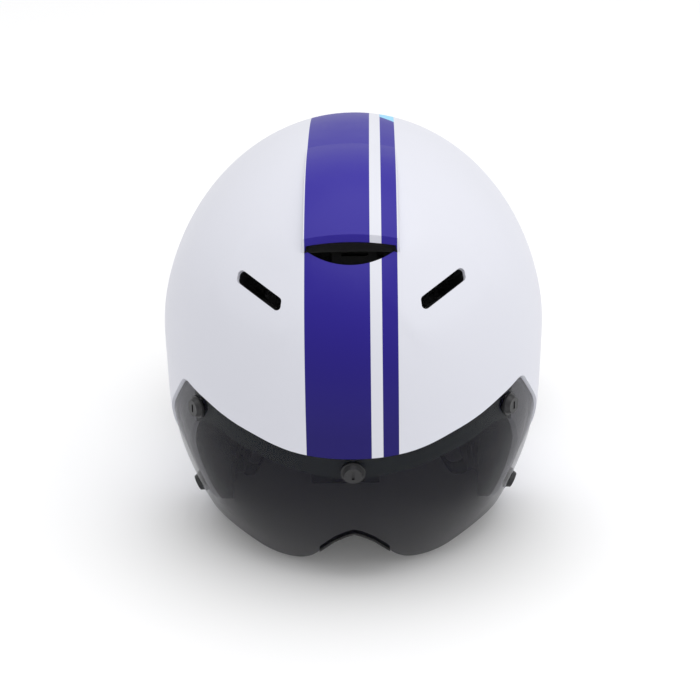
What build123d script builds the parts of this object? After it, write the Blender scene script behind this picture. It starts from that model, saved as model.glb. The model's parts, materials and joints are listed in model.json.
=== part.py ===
"""Aero time trial helmet: a hard shell on a foam liner, a magnetic wrap-round lens, a cradle that
a dial tightens, webbing and a side-release buckle.

Millimetres, +Z up, and the wearer looks along -Y. Z = 0 is the flat lower edge of the ear covers,
on which the helmet stands. Every piece is drawn from the widest ring of the shell, at Y = 0, and
is stored from the middle of the helmet's length.
"""
import os
from math import acos, atan, cos, pi, radians, sin, sqrt, tan

from build123d import *

os.makedirs("parts", exist_ok=True)

# Shell form: an egg of four quarter ellipsoids that meet at its widest ring
half_width = 103.0
front_depth = 118.0
back_depth = 200.0
crown_height = 94.0
lower_height = 168.0
ring_height = 107.0
tail_length = 170.0

# Walls and seats
shell_wall = 2.2
bond_gap = 0.1
wrap_height = 2.2
edge_lift = 0.4
soft_gap = 0.3
rim_corner_radius = 8.0
rim_bend = 20.0

# Head space inside the foam
head_half_width = 80.0
head_front = 95.0
head_back = 105.0
head_top = 64.0
head_lower = 220.0
pad_thickness = 5.0
pad_corner = 6.0
ear_length = 27.0
ear_height = 38.0
ear_depth = 15.0
ear_cover_wall = 8.0
ear_y = 33.0
ear_z = 43.0

# Lens and its seat
lens_wall = 2.0
lens_inset = 1.2
lens_seat_gap = 0.4
lens_edge_gap = 1.0
lens_corner_radius = 9.0
brow_bend = 30.0
rear_bend = 100.0
band_end_y = 62.0
nose_strip_width = 4.4
nose_lip = 1.0

# Magnet knobs
knob_foot_radius = 6.2
knob_foot_height = 0.9
knob_radius = 5.4
knob_top_radius = 4.4
knob_height = 2.6
knob_notch_width = 1.4
knob_notch_depth = 0.9
shank_radius = 2.8
shank_gap = 0.08
shank_proud = 0.2
lens_magnet_radius = 1.9
shell_magnet_radius = 4.0
magnet_height = 1.5
magnet_gap = 0.05

# Vents
slit_length = 31.0
slit_height = 6.6
slit_slant = 3.4
slit_corner = 2.2
slit_reach = 80.0
duct_wall = 1.2
duct_depth = 9.0
mouth_half_width = 24.0
mouth_depth = 12.5
mouth_side_depth = 3.0
mouth_lip_y = 85.0
mouth_pitch = 31.0
mouth_reach = 44.0
mouth_lead = 6.0
hood_half_width = 24.0
hood_flare = 2.0
hood_front_y = 76.0
hood_rise = 6.3
hood_side_rise = 7.3
hood_root = 8.0
hood_wall = 2.0
lip_height = 4.5
lip_depth = 3.0
lip_side = 1.0
lip_lead = 0.5
exhaust_width = 74.0
exhaust_height = 26.0
exhaust_corner = 11.0
exhaust_z = 122.0
exhaust_start_y = 80.0
grille_depth = 5.0
grille_rim = 2.4
grille_bar = 1.8
grille_bars = 7
grille_setback = 1.2

# Cradle: the rail in the foam and the strip that slides in it
rail_width = 27.0
rail_bottom_z = 67.0
rail_top_z = 109.0
rail_floor = 2.0
rail_lip = 1.5
rail_lip_reach = 2.6
rail_front_y = 100.5
strip_width = 20.0
strip_thickness = 2.0
strip_gap = 0.3
strip_top_z = 99.0
strip_corner = 3.0
strip_holes = 3
strip_hole_radius = 2.5
strip_hole_pitch = 12.0

# Cradle: the dial, its pinion and the two racks
dial_z = 26.0
dial_radius = 14.0
dial_core_radius = 11.6
dial_height = 8.0
dial_ribs = 20
dial_rib_radius = 1.1
dial_gap = 0.4
washer_radius = 6.0
axle_radius = 2.0
axle_gap = 0.05
screw_head_radius = 3.2
screw_head_height = 1.6
screw_key_radius = 1.3
module = 1.0
pinion_teeth = 10
pressure_angle = 30.0
tooth_backlash = 0.2
root_clearance = 0.2
tooth_addendum = 0.85
rack_width = 4.0
rack_back = 2.2
rack_reach = 7.6
rack_gap = 0.3
housing_half_width = 17.0
housing_wall = 1.5
housing_corner = 4.0
wing_travel = 6.0
wing_thickness = 2.4
wing_block_gap = 0.6
wing_reach = 35.0
wing_end_y = 78.0
wing_pad_thickness = 3.0
wing_pad_height = 12.0
nape_pad_width = 28.0
nape_pad_height = 17.0
nape_pad_thickness = 4.0

# Webbing, dividers and anchors
web_width = 14.0
web_thickness = 1.2
web_gap = 0.2
web_floor_gap = 0.5
front_anchor_y = 30.0
rear_anchor_y = 66.0
anchor_z = 60.0
anchor_inset = 5.8
anchor_tail = 5.0
anchor_radius = 7.0
anchor_depth = 11.5
anchor_stem = 2.6
anchor_head = 5.0
anchor_head_height = 1.6
divider_y = 20.0
divider_z = 14.0
divider_inset = 7.0
divider_length = 26.0
divider_height = 19.0
divider_thickness = 4.6
divider_corner = 4.0
divider_entry = 5.0

# Buckle
buckle_z = 5.2
buckle_thickness = 8.4
buckle_width = 24.0
buckle_wall = 1.6
buckle_gap = 0.3
buckle_corner = 2.0
socket_length = 25.0
plug_length = 13.0
plug_slot = 7.0
prong_length = 17.0
prong_width = 3.4
prong_thickness = 3.6
window_length = 9.0
strap_hump = 36.0
strap_bend = 6.0

# Outlines, as shares: of the front depth ahead of the ring or the tail's length behind it, and of
# the ring's height
lens_brow_shares = ((-1.27, 0.74), (-0.977, 0.766), (-0.864, 0.841), (-0.678, 0.916))
lens_rear_shares = ((-0.508, 0.958), (-0.288, 0.692), (-0.127, 0.393), (-0.059, 0.131))
lens_foot_shares = ((-0.051, -0.24), (-1.27, -0.24))
port_shares = (
    (-1.27, 0.6),
    (-0.969, 0.638),
    (-0.847, 0.714),
    (-0.661, 0.781),
    (-0.534, 0.757),
    (-0.415, 0.561),
    (-0.356, 0.336),
    (-0.305, 0.15),
    (-0.22, 0.06),
    (0.047, 0),
)
heel_shares = (
    (0.412, 0),
    (0.441, 0.21),
    (0.488, 0.44),
    (0.576, 0.561),
    (0.706, 0.617),
    (1.0, 0.636),
    (1.35, 0.65),
)
below_shares = ((1.35, -0.7), (-1.27, -0.7))
# The lens's lower edge in the front view, as shares of the half width and of the ring's height
lens_lower_shares = (
    (0, 0.306),
    (0.036, 0.292),
    (0.1, 0.243),
    (0.165, 0.16),
    (0.215, 0.092),
    (0.28, 0.05),
    (0.36, 0.036),
    (0.45, 0.045),
    (0.55, 0.086),
    (0.66, 0.118),
    (0.76, 0.118),
    (0.86, 0.095),
    (1.1, 0.06),
)
notch_points = 5
# Side magnets, as shares of the front depth and of the ring's height
magnet_shares = ((-0.593, 0.85), (-0.17, 0.152))
middle_magnet_share = 0.7
# Slit vent: its middle and its long way, as shares of the half width, front depth and crown height
slit_middle_shares = (0.444, -0.69, 0.553)
slit_way_shares = (0.228, 0.212, 0.085)
# Chin strap: how far in it lies on the ground and how far in its hump stands, as shares of its run
strap_turn_share = 0.24
strap_hump_share = 0.62
# Hood: how far back each section stands, as shares of the front depth, and the rise left there
hood_shares = ((-1, 1.0), (-0.45, 0.78), (-0.22, 0.5), (0, 0.2), (0.2, -0.12))
# Where the pads lie: turned about the vertical and raised, in degrees, and their size as shares of
# the head space's half width
brow_pad_shares = (0, -9, 0.66, 0.26)
top_pad_shares = (0, 78, 0.3, 0.72)
side_pad_shares = {
    "temple_pad": (50, -7, 0.44, 0.28),
    "upper_pad": (92, 42, 0.72, 0.28),
    "rear_pad": (140, -7, 0.4, 0.28),
}

full = 2 * (back_depth + front_depth)
recess_inset = lens_inset + lens_wall + lens_seat_gap
stored_shift = (front_depth - tail_length) / 2
pitch_radius = module * pinion_teeth / 2
tooth_pitch = pi * module
rack_root = tooth_addendum + root_clearance
rack_half_height = pitch_radius + rack_root + rack_back
housing_half_height = rack_half_height + rack_gap + housing_wall


def side(y_share, z_share):
    """A point of the side view from its shares."""
    return (y_share * (front_depth if y_share < 0 else tail_length), z_share * ring_height)


def shell_x(y, z, inset):
    """Half width of the egg, less an inset, at a place in the side view."""
    depth = (front_depth if y < 0 else back_depth) - inset
    height = (crown_height if z > ring_height else lower_height) - inset
    return (half_width - inset) * sqrt(1 - (y / depth) ** 2 - ((z - ring_height) / height) ** 2)


def shell_top(x, y):
    """Height of the egg over a place in the top view."""
    depth = front_depth if y < 0 else back_depth
    return ring_height + crown_height * sqrt(1 - (x / half_width) ** 2 - (y / depth) ** 2)


def head_x(y, z):
    """Half width of the head space at a place in the side view, below the ring."""
    depth = head_front if y < 0 else head_back
    return head_half_width * sqrt(1 - (y / depth) ** 2 - ((z - ring_height) / head_lower) ** 2)


def shell_plane(x, y, z, inset, turn):
    """A plane that touches the egg, less an inset, at a point, with its normal outwards."""
    depth = (front_depth if y < 0 else back_depth) - inset
    height = (crown_height if z > ring_height else lower_height) - inset
    normal = Vector(x / (half_width - inset) ** 2, y / depth**2, (z - ring_height) / height**2)
    return Plane(origin=(x, y, z), x_dir=turn, z_dir=normal)


def ovoid(width, front, back, top, bottom):
    """A solid of four quarter ellipsoids, with one tangent where they meet on the ring."""
    quarters = ((0, back, bottom), (90, back, top), (180, front, top), (270, front, bottom))
    with BuildPart() as body:
        for turn, depth, height in quarters:
            unit = Sphere(1, arc_size3=90, rotation=(0, 90, 0), align=None, mode=Mode.PRIVATE)
            add(Pos(0, 0, ring_height) * unit.rotate(Axis.X, turn).scale((width, depth, height)))
    return body.part


def egg(inset):
    """The shell's form, less an inset all round."""
    depths = (front_depth - inset, back_depth - inset)
    return ovoid(half_width - inset, *depths, crown_height - inset, lower_height - inset)


def head_form(inset):
    """The head space's form, less an inset all round."""
    depths = (head_front - inset, head_back - inset)
    return ovoid(head_half_width - inset, *depths, head_top - inset, head_lower - inset)


def lens_field(grow):
    """The lens's outline in the side view, grown by a margin, as a prism across the helmet."""
    points = [side(*share) for share in (*lens_brow_shares, *lens_rear_shares, *lens_foot_shares)]
    bends = [brow_bend] * (len(lens_brow_shares) - 1)
    bends += [lens_corner_radius] + [rear_bend] * (len(lens_rear_shares) - 1) + [lens_corner_radius]
    with BuildPart() as field:
        with BuildSketch(Plane.YZ):
            with BuildLine():
                line = FilletPolyline(points, radius=bends)
                Line(line @ 1, line @ 0)
            make_face()
            if grow:
                offset(amount=grow)
        extrude(amount=full, both=True)
    return field.part


def below_rim(grow):
    """Everything below the rim and ahead of the face port, grown by a margin, as a prism."""
    points = [side(*share) for share in (*port_shares, *heel_shares, *below_shares)]
    bends = [rim_bend] * (len(port_shares) - 1) + [rim_corner_radius]
    bends += [rim_bend] * (len(heel_shares) - 1) + [rim_corner_radius]
    with BuildPart() as field:
        with BuildSketch(Plane.YZ):
            with BuildLine():
                line = FilletPolyline(points, radius=bends)
                Line(line @ 1, line @ 0)
            make_face()
            if grow:
                offset(amount=grow)
        extrude(amount=full, both=True)
    return field.part


def half_space(y, front):
    """A block that fills all the space ahead of, or behind, a place along the helmet."""
    with BuildPart() as block:
        with BuildSketch(Plane.XZ.offset(-y)):
            Rectangle(full, full)
        extrude(amount=full if front else -full)
    return block.part


def hood_form(side_wall, top_wall, lead):
    """The raised hood behind the intake, less its walls, with its mouth carried forward by a lead."""
    edge = hood_half_width - side_wall
    foot = edge + hood_flare
    with BuildPart() as hood:
        for index, (y_share, rise_share) in enumerate(hood_shares):
            y = y_share * (hood_front_y if y_share == -1 else front_depth)
            root_z = shell_top(foot, y) - hood_root
            side_z = shell_top(edge, y) + hood_side_rise * rise_share - top_wall
            top_z = shell_top(0, y) + hood_rise * rise_share - top_wall
            with BuildSketch(Plane.XZ.offset(-y + (0 if index else lead))):
                with BuildLine():
                    ThreePointArc((-edge, side_z), (0, top_z), (edge, side_z))
                    Polyline((edge, side_z), (foot, root_z), (-foot, root_z), (-edge, side_z))
                make_face()
        loft()
    return hood.part


def slit_prism(grow):
    """The left slit vent's slanted outline, grown by a margin, as a prism through the wall."""
    x_share, y_share, z_share = slit_middle_shares
    x = x_share * half_width
    y = y_share * front_depth
    z = ring_height + z_share * crown_height
    sizes = (half_width, front_depth, crown_height)
    way = Vector(*(share * size for share, size in zip(slit_way_shares, sizes)))
    with BuildPart() as slit:
        with BuildSketch(shell_plane(x, y, z, 0, way)):
            end = slit_length / 2
            rise = slit_height / 2
            with BuildLine():
                Polyline(
                    (-end, -rise),
                    (end - slit_slant, -rise),
                    (end, rise),
                    (slit_slant - end, rise),
                    close=True,
                )
            make_face()
            fillet(vertices(), slit_corner)
            if grow:
                offset(amount=grow)
        extrude(amount=slit_reach, both=True)
    return slit.part


def mouth_prism(grow):
    """The intake's channel: flat above, bowed below, and slanting back into the head space."""
    lip = (0, -mouth_lip_y, shell_top(0, -mouth_lip_y))
    way = (0, cos(radians(mouth_pitch)), -sin(radians(mouth_pitch)))
    corner = mouth_depth - mouth_side_depth
    with BuildPart() as mouth:
        with BuildSketch(Plane(origin=lip, x_dir=(-1, 0, 0), z_dir=way)) as profile:
            with BuildLine():
                low = ThreePointArc((-mouth_half_width, corner), (0, 0), (mouth_half_width, corner))
                corners = ((mouth_half_width, mouth_depth), (-mouth_half_width, mouth_depth))
                Polyline(low @ 1, *corners, low @ 0)
            make_face()
            if grow:
                offset(amount=grow)
        extrude(amount=mouth_reach)
        extrude(profile.sketch, amount=-mouth_lead)
    return mouth.part


def exhaust_prism(shrink):
    """The exhaust channel from the head space to the tail, less a margin."""
    with BuildPart() as channel:
        with BuildSketch(Plane.XZ.offset(-exhaust_start_y)):
            with Locations((0, exhaust_z)):
                RectangleRounded(
                    exhaust_width - 2 * shrink, exhaust_height - 2 * shrink, exhaust_corner - shrink
                )
        extrude(amount=-full)
    return channel.part


def pad_form(turn, lift, width_share, height_share):
    """A pad on the head space's wall, facing the middle of the head space."""
    level = cos(radians(lift))
    facing = Vector(sin(radians(turn)) * level, -cos(radians(turn)) * level, sin(radians(lift)))
    across = Vector(cos(radians(turn)), sin(radians(turn)), 0)
    with BuildPart() as pad:
        with BuildSketch(Plane(origin=(0, 0, ring_height), x_dir=across, z_dir=facing)):
            RectangleRounded(width_share * head_half_width, height_share * head_half_width, pad_corner)
        extrude(amount=full)
        add(pad_layer, mode=Mode.INTERSECT)
    return pad.part


def store(part, name):
    """Label a piece and write it, moved to the middle of the helmet's length."""
    stored = Pos(0, stored_shift, 0) * part
    stored.label = name
    export_step(stored, f"parts/{name}.step")


def inner_form(gap):
    """What lies inside the shell: its own form less the wall, deeper behind the lens's seat."""
    with BuildPart() as form:
        add(egg(shell_wall + gap))
        add(lens_field(lens_edge_gap + shell_wall), mode=Mode.SUBTRACT)
        add(egg(recess_inset + shell_wall + gap))
        add(half_space(tail_length - shell_wall - gap, False), mode=Mode.SUBTRACT)
    return form.part


def both_sides(part):
    """A piece and its mirror image."""
    return [part, part.mirror(Plane.YZ)]


# Magnet places: one on the brow and two on each side
middle_z = middle_magnet_share * ring_height
middle_drop = (middle_z - ring_height) / (lower_height - lens_inset)
middle_y = -(front_depth - lens_inset) * sqrt(1 - middle_drop**2)
knob_planes = [shell_plane(0, middle_y, middle_z, lens_inset, (1, 0, 0))]
for y_share, z_share in magnet_shares:
    knob_y, knob_z = side(y_share, z_share)
    knob_x = shell_x(knob_y, knob_z, lens_inset)
    for hand in (1, -1):
        knob_planes.append(shell_plane(hand * knob_x, knob_y, knob_z, lens_inset, (0, 1, 0)))

lens_seat_depth = lens_wall + lens_seat_gap
with BuildPart() as magnet_pockets:
    for plane in knob_planes:
        with BuildSketch(plane.offset(-lens_seat_depth + lens_seat_gap)):
            Circle(shell_magnet_radius + magnet_gap)
        extrude(amount=-(lens_seat_gap + magnet_height + 2 * magnet_gap))

slits = both_sides(slit_prism(0))
slit_seats = both_sides(slit_prism(duct_wall))
mouth = mouth_prism(0)
mouth_seat = mouth_prism(duct_wall)
channel = exhaust_prism(0)
rim = below_rim(0)
wrap_edge = below_rim(wrap_height)
seat = lens_field(lens_edge_gap)
head_space = head_form(0)

# Outer shell: one moulded skin, stepped in under the lens's sides, with the hood and its vents
with BuildPart() as cheeks:
    add(egg(recess_inset))
    add(half_space(-band_end_y, True), mode=Mode.SUBTRACT)
    add(half_space(tail_length, False), mode=Mode.SUBTRACT)
with BuildPart() as lip_opening:
    add(hood_form(lip_side, lip_height, lip_lead))
    add(half_space(lip_depth - hood_front_y, False), mode=Mode.SUBTRACT)
with BuildPart() as outer_shell:
    add(egg(0))
    for cut in (half_space(tail_length, False), seat, mouth):
        add(cut, mode=Mode.SUBTRACT)
    add(hood_form(0, 0, 0))
    add(cheeks.part)
    for cut in (inner_form(0), lip_opening.part, hood_form(hood_wall, hood_wall, lip_lead - lip_depth)):
        add(cut, mode=Mode.SUBTRACT)
    for cut in (below_rim(edge_lift), channel, *slits, *magnet_pockets.part.solids()):
        add(cut, mode=Mode.SUBTRACT)
store(outer_shell.part, "outer_shell")

# Brow band: the black strip behind the lens's upper edge, which holds three of the magnets
with BuildPart() as brow_band:
    add(egg(recess_inset))
    add(egg(recess_inset + shell_wall), mode=Mode.SUBTRACT)
    add(lens_field(lens_edge_gap - bond_gap), mode=Mode.INTERSECT)
    add(half_space(-band_end_y - bond_gap, True), mode=Mode.INTERSECT)
    for cut in (rim, *magnet_pockets.part.solids()):
        add(cut, mode=Mode.SUBTRACT)
store(brow_band.part, "brow_band")

with BuildPart() as shell_magnets:
    for plane in knob_planes:
        with BuildSketch(plane.offset(-lens_seat_depth - magnet_gap)):
            Circle(shell_magnet_radius)
        extrude(amount=-magnet_height)
store(shell_magnets.part, "shell_magnets")

# Foam liner, with its head space, ear pockets, air channels and the pocket for the rail
ear_x = shell_x(ear_y, ear_z, shell_wall) - ear_cover_wall - ear_depth
ear_form = Sphere(1).scale((ear_depth, ear_length, ear_height))
ear_pockets = both_sides(Pos(ear_x, ear_y, ear_z) * ear_form)
rail_back_y = rail_front_y + rail_lip + strip_thickness + 2 * strip_gap + rail_floor
with BuildPart() as rail_pocket:
    with BuildSketch(Plane.XY):
        with Locations((0, rail_back_y + bond_gap)):
            Rectangle(rail_width + 2 * bond_gap, head_back, align=(Align.CENTER, Align.MAX))
    extrude(amount=rail_top_z + bond_gap)

# Webbing: one plane on the left side holds both side straps and the divider that joins them
front_anchor = Vector(head_x(-front_anchor_y, anchor_z) - anchor_inset, -front_anchor_y, anchor_z)
rear_anchor = Vector(head_x(rear_anchor_y, anchor_z) - anchor_inset, rear_anchor_y, anchor_z)
divider_middle = Vector(head_x(divider_y, divider_z) - divider_inset, divider_y, divider_z)
along = (rear_anchor - front_anchor).normalized()
outward = along.cross(front_anchor - divider_middle).normalized()
web_plane = Plane(origin=divider_middle, x_dir=along, z_dir=outward)
strap_plane = Plane(origin=divider_middle, x_dir=-outward, z_dir=along)
half_web = web_thickness / 2
anchor_places = [web_plane.to_local_coords(place) for place in (front_anchor, rear_anchor)]


def anchor_form(gap):
    """The two push-in strap anchors of the left side, grown by a gap: plug, stem and head."""
    with BuildPart() as anchors:
        for place in anchor_places:
            with BuildSketch(web_plane.offset(half_web + web_gap)):
                with Locations((place.X, place.Y)):
                    Circle(anchor_radius + gap)
            extrude(amount=anchor_depth + gap)
            with BuildSketch(web_plane.offset(half_web + web_gap)):
                with Locations((place.X, place.Y)):
                    Circle(anchor_stem)
            extrude(amount=-(web_thickness + 2 * web_gap))
            with BuildSketch(web_plane.offset(-half_web - web_gap)):
                with Locations((place.X, place.Y)):
                    Circle(anchor_head)
            extrude(amount=-anchor_head_height)
    return anchors.part


anchor_pockets = both_sides(anchor_form(bond_gap))
with BuildPart() as foam_liner:
    add(inner_form(bond_gap))
    for cut in (head_space, wrap_edge, *ear_pockets, mouth_seat, channel, rail_pocket.part, *slit_seats):
        add(cut, mode=Mode.SUBTRACT)
    for pocket in anchor_pockets:
        for cut in pocket.solids():
            add(cut, mode=Mode.SUBTRACT)
store(foam_liner.part, "foam_liner")

# Rim wrap: the black edging that closes the foam's lower edge and stands on the ground
with BuildPart() as rim_wrap:
    add(inner_form(bond_gap))
    for cut in (head_space, rim, *ear_pockets, rail_pocket.part):
        add(cut, mode=Mode.SUBTRACT)
    add(wrap_edge, mode=Mode.INTERSECT)
store(rim_wrap.part, "rim_wrap")

# Air ducts: black sleeves in the foam behind the slits and the intake, and the grille at the tail
with BuildPart() as duct_layer:
    add(egg(shell_wall + 2 * bond_gap))
    add(egg(shell_wall + duct_depth), mode=Mode.SUBTRACT)
with BuildPart() as vent_duct:
    add(slit_prism(duct_wall - bond_gap))
    add(slit_prism(0), mode=Mode.SUBTRACT)
    add(duct_layer.part, mode=Mode.INTERSECT)
    add(half_space(0, True), mode=Mode.INTERSECT)
vent_pieces = [piece for piece in vent_duct.part.solids() if piece.center().Z > ring_height]
for piece, hand in zip(both_sides(vent_pieces[0]), ("left", "right")):
    store(piece, f"vent_duct_{hand}")

with BuildPart() as intake_duct:
    add(egg(shell_wall + 2 * bond_gap))
    add(head_form(-bond_gap), mode=Mode.SUBTRACT)
    add(mouth_prism(duct_wall - bond_gap), mode=Mode.INTERSECT)
    add(mouth, mode=Mode.SUBTRACT)
store(intake_duct.part, "intake_duct")

with BuildPart() as exhaust_grille:
    with BuildSketch(Plane.XZ.offset(grille_setback + grille_depth - tail_length)):
        with Locations((0, exhaust_z)):
            RectangleRounded(
                exhaust_width - 2 * bond_gap, exhaust_height - 2 * bond_gap, exhaust_corner - bond_gap
            )
            RectangleRounded(
                exhaust_width - 2 * grille_rim,
                exhaust_height - 2 * grille_rim,
                exhaust_corner - grille_rim,
                mode=Mode.SUBTRACT,
            )
        with Locations((0, exhaust_z)):
            with GridLocations(exhaust_width / (grille_bars + 1), 0, grille_bars, 1):
                Rectangle(grille_bar, exhaust_height - grille_rim)
    extrude(amount=-grille_depth)
store(exhaust_grille.part, "exhaust_grille")

# Comfort pads, on the head space's wall
with BuildPart() as pad_shell:
    add(head_form(soft_gap))
    add(head_form(soft_gap + pad_thickness), mode=Mode.SUBTRACT)
pad_layer = pad_shell.part
store(pad_form(*brow_pad_shares), "brow_pad")
store(pad_form(*top_pad_shares), "crown_pad")
for name, shares in side_pad_shares.items():
    for piece, hand in zip(both_sides(pad_form(*shares)), ("left", "right")):
        store(piece, f"{name}_{hand}")

# Lens: a curved wall cut to its outline, with a hole for each knob
with BuildPart() as visor_lens:
    add(egg(lens_inset))
    add(egg(lens_inset + lens_wall), mode=Mode.SUBTRACT)
    add(lens_field(0), mode=Mode.INTERSECT)
    lower = [(x_share * half_width, z_share * ring_height) for x_share, z_share in lens_lower_shares]
    mirrored = [(-x, z) for x, z in reversed(lower[1:])]
    with BuildSketch(Plane.XZ):
        with BuildLine():
            edge = Spline(mirrored + lower)
            foot = -ring_height
            Polyline(edge @ 1, (lower[-1][0], foot), (mirrored[0][0], foot), edge @ 0)
        make_face()
    extrude(amount=full, both=True, mode=Mode.SUBTRACT)
    for plane in knob_planes:
        with BuildSketch(plane):
            Circle(shank_radius + shank_gap)
        extrude(amount=-lens_seat_depth, mode=Mode.SUBTRACT)
store(visor_lens.part, "visor_lens")

# Nose strip: a rubber channel gripped on the edge of the notch
notch = lower[:notch_points]
with BuildPart() as nose_strip:
    add(egg(lens_inset - nose_lip))
    add(egg(lens_inset + lens_wall + nose_lip), mode=Mode.SUBTRACT)
    with BuildSketch(Plane.XZ):
        with BuildLine():
            Spline([(-x, z) for x, z in reversed(notch[1:])] + notch)
        trace(line_width=nose_strip_width)
    extrude(amount=full, mode=Mode.INTERSECT)
    add(visor_lens.part, mode=Mode.SUBTRACT)
store(nose_strip.part, "nose_strip")

# Knobs: a foot, a tapered head with a notch, and a shank through the lens that holds a magnet
knob_taper = atan((knob_radius - knob_top_radius) / knob_height) * 180 / pi
shank_length = lens_wall + shank_proud
with BuildPart() as visor_knobs:
    for plane in knob_planes:
        with BuildSketch(plane.offset(magnet_gap)):
            Circle(knob_foot_radius)
        extrude(amount=knob_foot_height)
        with BuildSketch(plane.offset(magnet_gap + knob_foot_height)):
            Circle(knob_radius)
        extrude(amount=knob_height, taper=knob_taper)
        with BuildSketch(plane.offset(magnet_gap + knob_foot_height + knob_height)):
            Rectangle(knob_notch_width, knob_top_radius)
        extrude(amount=-knob_notch_depth, mode=Mode.SUBTRACT)
        with BuildSketch(plane.offset(magnet_gap)):
            Circle(shank_radius)
        extrude(amount=-shank_length)
        with BuildSketch(plane.offset(magnet_gap - shank_length)):
            Circle(lens_magnet_radius + magnet_gap)
        extrude(amount=magnet_height, mode=Mode.SUBTRACT)
store(visor_knobs.part, "visor_knobs")

with BuildPart() as visor_magnets:
    for plane in knob_planes:
        with BuildSketch(plane.offset(magnet_gap - shank_length)):
            Circle(lens_magnet_radius)
        extrude(amount=magnet_height - magnet_gap)
store(visor_magnets.part, "visor_magnets")

# Height rail: a channel set in the foam at the back of the head space
slot_width = strip_width + 2 * strip_gap
slot_y = rail_front_y + rail_lip
strip_y = slot_y + strip_gap
plate_back_y = strip_y + strip_thickness
with BuildPart() as height_rail:
    with BuildSketch(Plane.XY.offset(rail_bottom_z)):
        with Locations((0, rail_front_y)):
            Rectangle(rail_width, rail_back_y - rail_front_y, align=(Align.CENTER, Align.MIN))
            gap_width = slot_width - 2 * rail_lip_reach
            Rectangle(gap_width, rail_lip, align=(Align.CENTER, Align.MIN), mode=Mode.SUBTRACT)
        with Locations((0, slot_y)):
            Rectangle(
                slot_width,
                strip_thickness + 2 * strip_gap,
                align=(Align.CENTER, Align.MIN),
                mode=Mode.SUBTRACT,
            )
    extrude(amount=rail_top_z - rail_bottom_z)
store(height_rail.part, "height_rail")

# Cradle yoke: the strip that slides in the rail, and the plate that carries the dial
with BuildPart() as cradle_yoke:
    with BuildSketch(Plane.XZ.offset(-strip_y)):
        with Locations((0, strip_top_z)):
            Rectangle(strip_width, strip_top_z - dial_z, align=(Align.CENTER, Align.MAX))
        with Locations((0, dial_z)):
            RectangleRounded(2 * housing_half_width, 2 * housing_half_height, housing_corner)
            Circle(axle_radius + axle_gap, mode=Mode.SUBTRACT)
        with Locations((0, strip_top_z - strip_hole_pitch)):
            with Locations(*[(0, -strip_hole_pitch * index) for index in range(strip_holes)]):
                Circle(strip_hole_radius, mode=Mode.SUBTRACT)
    extrude(amount=-strip_thickness)
    fillet(cradle_yoke.edges().filter_by(Axis.Y).group_by(Axis.Z)[-1], strip_corner)
store(cradle_yoke.part, "cradle_yoke")

# Dial housing: a tray that holds the pinion and lets one rack out on each side
tray_depth = housing_wall + rack_width + 2 * rack_gap
tray_front_y = strip_y - tray_depth
rack_y = strip_y - rack_gap - rack_width
with BuildPart() as dial_housing:
    with BuildSketch(Plane.XZ.offset(-tray_front_y)):
        with Locations((0, dial_z)):
            RectangleRounded(2 * housing_half_width, 2 * housing_half_height, housing_corner)
    extrude(amount=-tray_depth)
    with BuildSketch(Plane.XZ.offset(-tray_front_y - housing_wall)):
        with Locations((0, dial_z)):
            RectangleRounded(
                2 * (housing_half_width - housing_wall),
                2 * (housing_half_height - housing_wall),
                housing_corner - housing_wall,
            )
    extrude(amount=-tray_depth, mode=Mode.SUBTRACT)
    for hand in (1, -1):
        exit_low = pitch_radius - tooth_addendum - rack_gap
        exit_high = rack_half_height + rack_gap
        with BuildSketch(Plane.XZ.offset(-tray_front_y - housing_wall)):
            with Locations((-hand * housing_half_width, dial_z + hand * (exit_low + exit_high) / 2)):
                Rectangle(2 * housing_corner, exit_high - exit_low)
        extrude(amount=-tray_depth, mode=Mode.SUBTRACT)
    with BuildSketch(Plane.XZ.offset(-tray_front_y)):
        with Locations((0, dial_z)):
            Circle(axle_radius + axle_gap)
    extrude(amount=-tray_depth, mode=Mode.SUBTRACT)
store(dial_housing.part, "dial_housing")

with BuildPart() as nape_pad:
    with BuildSketch(Plane.XZ.offset(soft_gap - tray_front_y)):
        with Locations((0, dial_z)):
            RectangleRounded(nape_pad_width, nape_pad_height, housing_corner)
    extrude(amount=nape_pad_thickness)
store(nape_pad.part, "nape_pad")

# Drive pinion: involute teeth on an axle that turns in the housing and the plate
base_radius = pitch_radius * cos(radians(pressure_angle))
tip_radius = pitch_radius + tooth_addendum
root_radius = pitch_radius - rack_root
pitch_half_angle = (tooth_pitch / 2 - tooth_backlash) / 2 / pitch_radius


def flank_point(radius):
    """A point of one involute flank of the tooth that lies along X."""
    turn = acos(base_radius / radius)
    start = radians(pressure_angle)
    angle = pitch_half_angle + (tan(start) - start) - (tan(turn) - turn)
    return (radius * cos(angle), radius * sin(angle))


flank_radii = [base_radius + (tip_radius - base_radius) * step / 4 for step in range(5)]
with BuildPart() as drive_pinion:
    with BuildSketch(Plane.XZ.offset(-rack_y)):
        with Locations((0, dial_z)):
            Circle(root_radius)
            with PolarLocations(0, pinion_teeth, start_angle=90 - 180 / pinion_teeth):
                with BuildSketch(mode=Mode.PRIVATE) as tooth:
                    with BuildLine():
                        flank = Spline([flank_point(radius) for radius in flank_radii])
                        other = Spline([(x, -y) for x, y in map(flank_point, flank_radii)])
                        Line(flank @ 1, other @ 1)
                        Polyline(flank @ 0, (0, 0), other @ 0)
                    make_face()
                add(tooth.sketch)
    extrude(amount=-rack_width)
    axle_back_y = plate_back_y + dial_gap + dial_height - 2 * screw_head_height
    with BuildSketch(Plane.XZ.offset(-tray_front_y - bond_gap)):
        with Locations((0, dial_z)):
            Circle(axle_radius)
    extrude(amount=-(axle_back_y - tray_front_y - bond_gap))
store(drive_pinion.part, "drive_pinion")

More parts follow.
